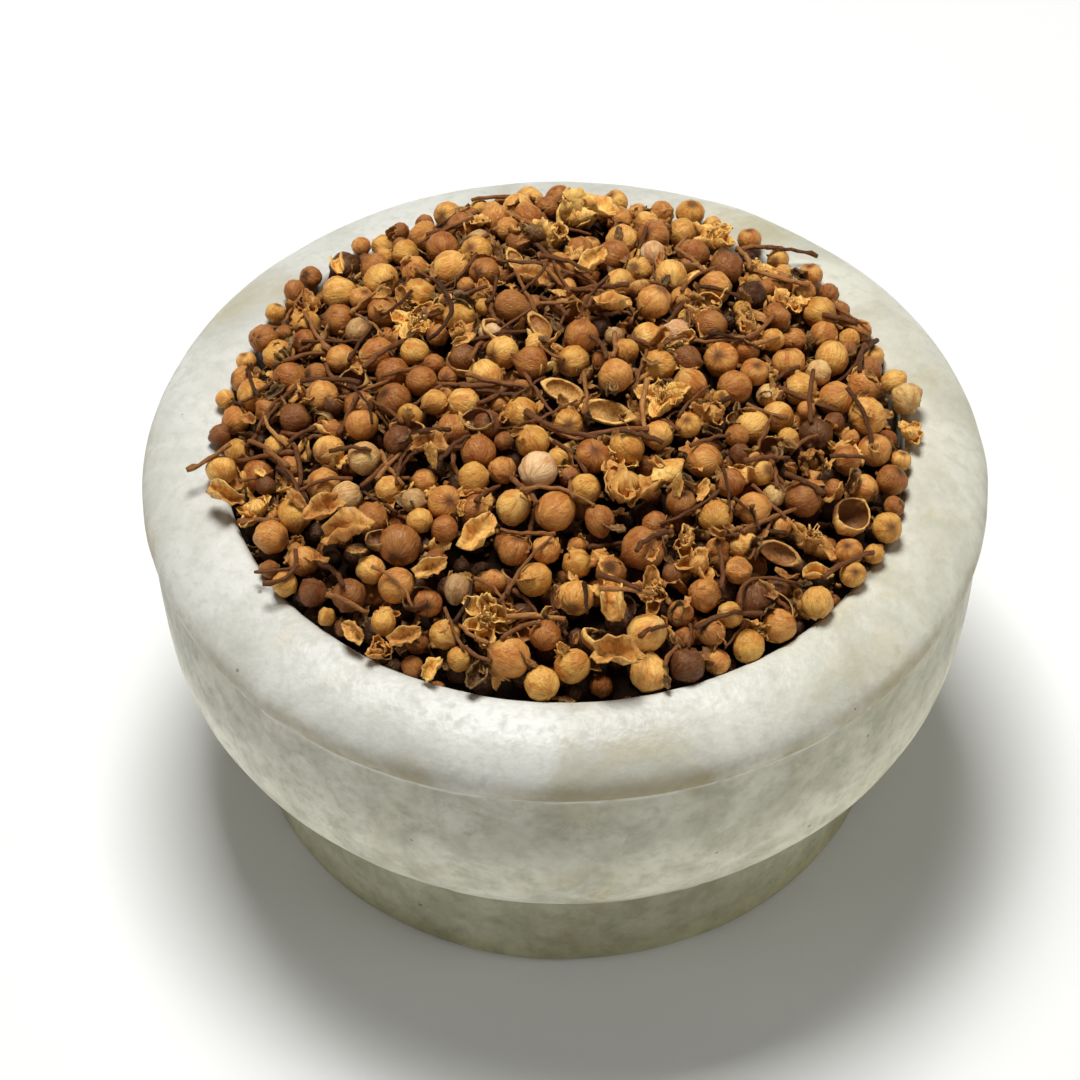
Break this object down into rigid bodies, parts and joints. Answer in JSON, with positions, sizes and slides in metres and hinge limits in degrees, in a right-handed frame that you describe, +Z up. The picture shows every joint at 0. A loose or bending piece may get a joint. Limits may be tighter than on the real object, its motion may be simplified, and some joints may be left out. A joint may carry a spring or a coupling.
{
  "type": "bowl of dried ironwood flower buds",
  "caption": "Hand-cut white marble mortar with a rounded lip and a stepped foot, heaped over its rim with whole dried round flower buds, stalks, petals and split husks.",
  "frame": {"origin": "centre of the foot's flat underside", "axes": "+Z up through the opening; -Y towards the side that the picture shows; +X to that view's right"},
  "size_m": [0.1403, 0.1397, 0.0867],
  "materials": {
    "marble": "satin",
    "dried_buds": "matte"
  },
  "bodies": {
    "root": {"mortar": "marble", "heap": "dried_buds"}
  },
  "joints": []
}
